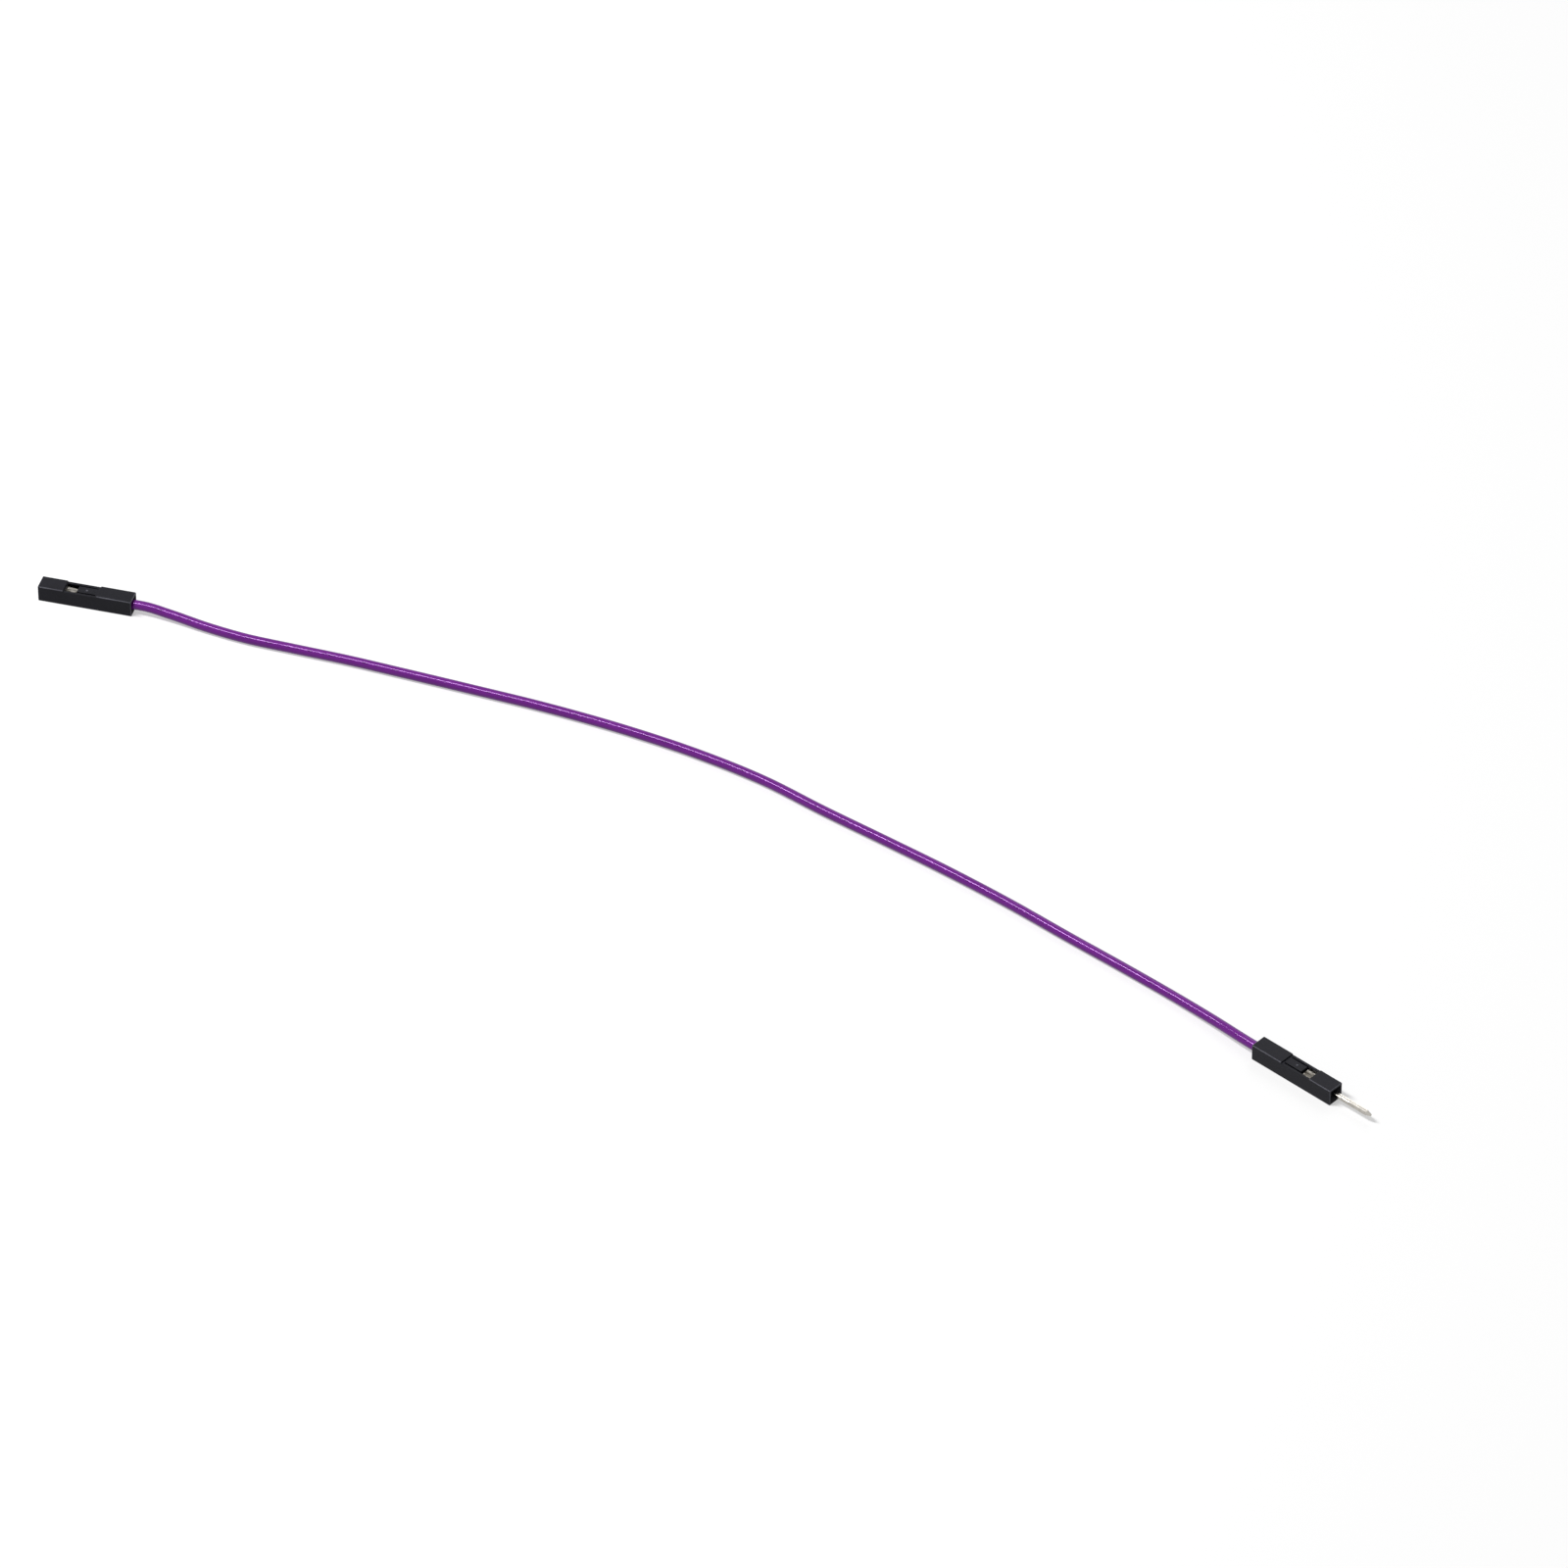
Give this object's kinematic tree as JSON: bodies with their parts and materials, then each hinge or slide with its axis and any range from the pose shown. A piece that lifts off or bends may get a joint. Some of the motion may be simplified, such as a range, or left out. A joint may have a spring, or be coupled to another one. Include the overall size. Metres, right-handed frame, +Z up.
{
  "type": "breadboard jumper wire",
  "caption": "Purple insulated jumper wire with a black latched socket housing on one end and a black housing with a square pin on the other, lying in a gentle curve.",
  "frame": {"origin": "on the surface the wire lies on, under the middle of the box round both connectors, without the wire between them", "axes": "+X from the socket end to the pin end, +Z up and out of both latches, +Y to the side that the wire bows to"},
  "size_m": [0.2178, 0.0196, 0.0025],
  "materials": {
    "housing": "black moulded plastic, satin",
    "terminal": "tin plated",
    "insulation": "purple extruded PVC, slightly glossy",
    "conductor": "bare copper strands"
  },
  "bodies": {
    "root": {"female_housing": "housing", "female_terminal": "terminal", "wire_insulation": "insulation", "wire_conductor": "conductor", "male_terminal": "terminal", "male_housing": "housing"}
  },
  "joints": []
}
